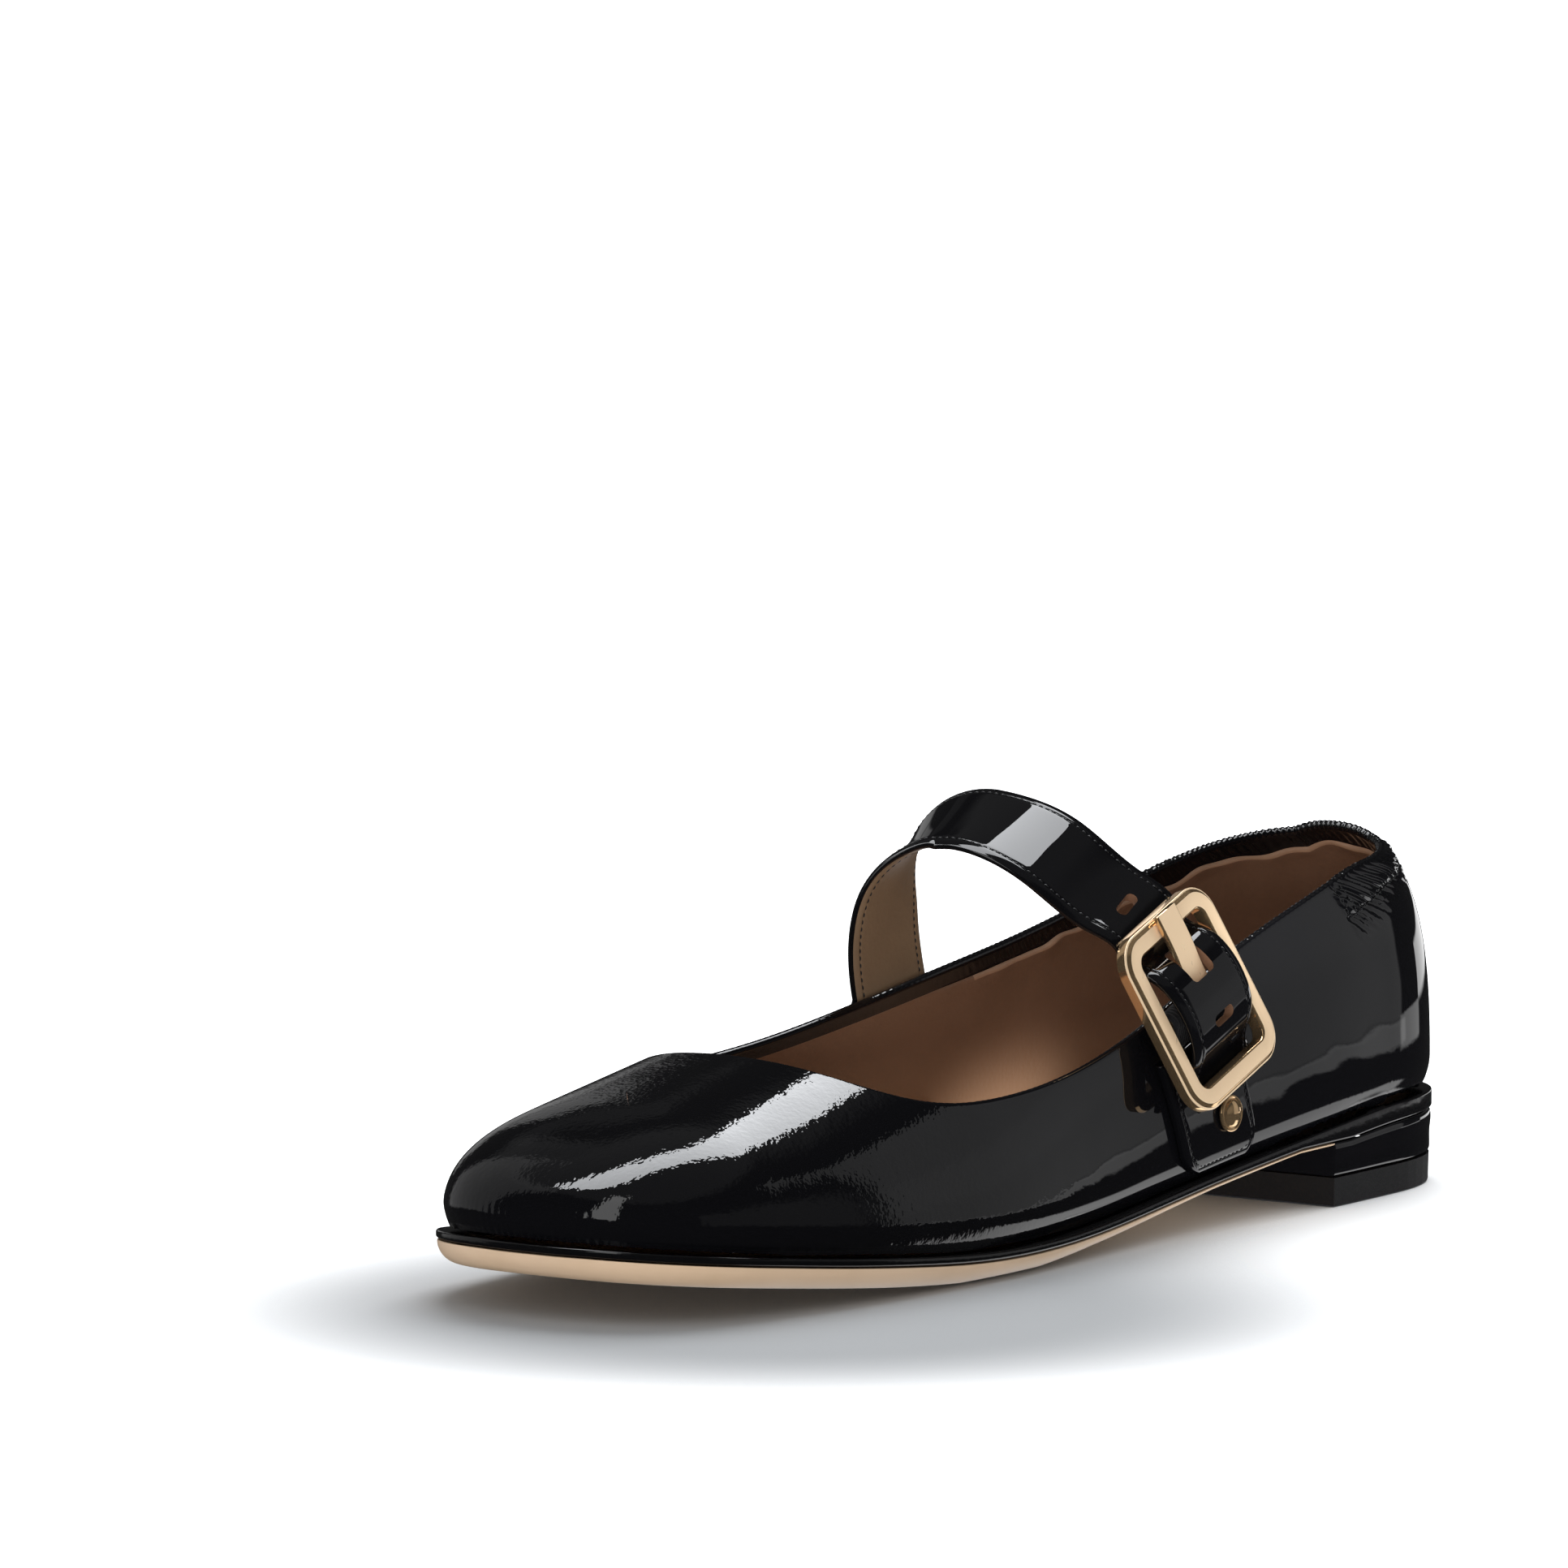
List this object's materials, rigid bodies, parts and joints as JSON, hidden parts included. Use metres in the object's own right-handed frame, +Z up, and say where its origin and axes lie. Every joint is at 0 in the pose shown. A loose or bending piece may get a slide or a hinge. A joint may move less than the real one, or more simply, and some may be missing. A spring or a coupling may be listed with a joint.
{
  "type": "ballet flat",
  "caption": "Left ballet flat in black patent leather: soft square toe, low block heel, tan lining, and an instep strap closed by a pale gold buckle on an elastic loop.",
  "frame": {"origin": "middle of the footprint of the bounding box, on the floor", "axes": "+X to the heel, -X to the toe, -Y to the buckle and outer side, +Z up"},
  "size_m": [0.2496, 0.0761, 0.0773],
  "materials": {
    "patent_leather": "glossy patent",
    "lining_leather": "fine grained, satin",
    "sole_leather": "smooth, satin",
    "sole_edge": "painted and waxed",
    "heel_rubber": "matte",
    "pale_gold": "satin face, polished sides",
    "elastic_webbing": "ribbed weave"
  },
  "bodies": {
    "root": {"upper": "patent_leather", "strap": "patent_leather", "buckle_tab": "patent_leather", "heel_block": "patent_leather", "insole": "lining_leather", "outsole": "sole_leather", "rand": "sole_edge", "heel_top_piece": "heel_rubber", "buckle_frame": "pale_gold", "prong": "pale_gold", "stud": "pale_gold", "elastic_loop": "elastic_webbing"}
  },
  "joints": []
}
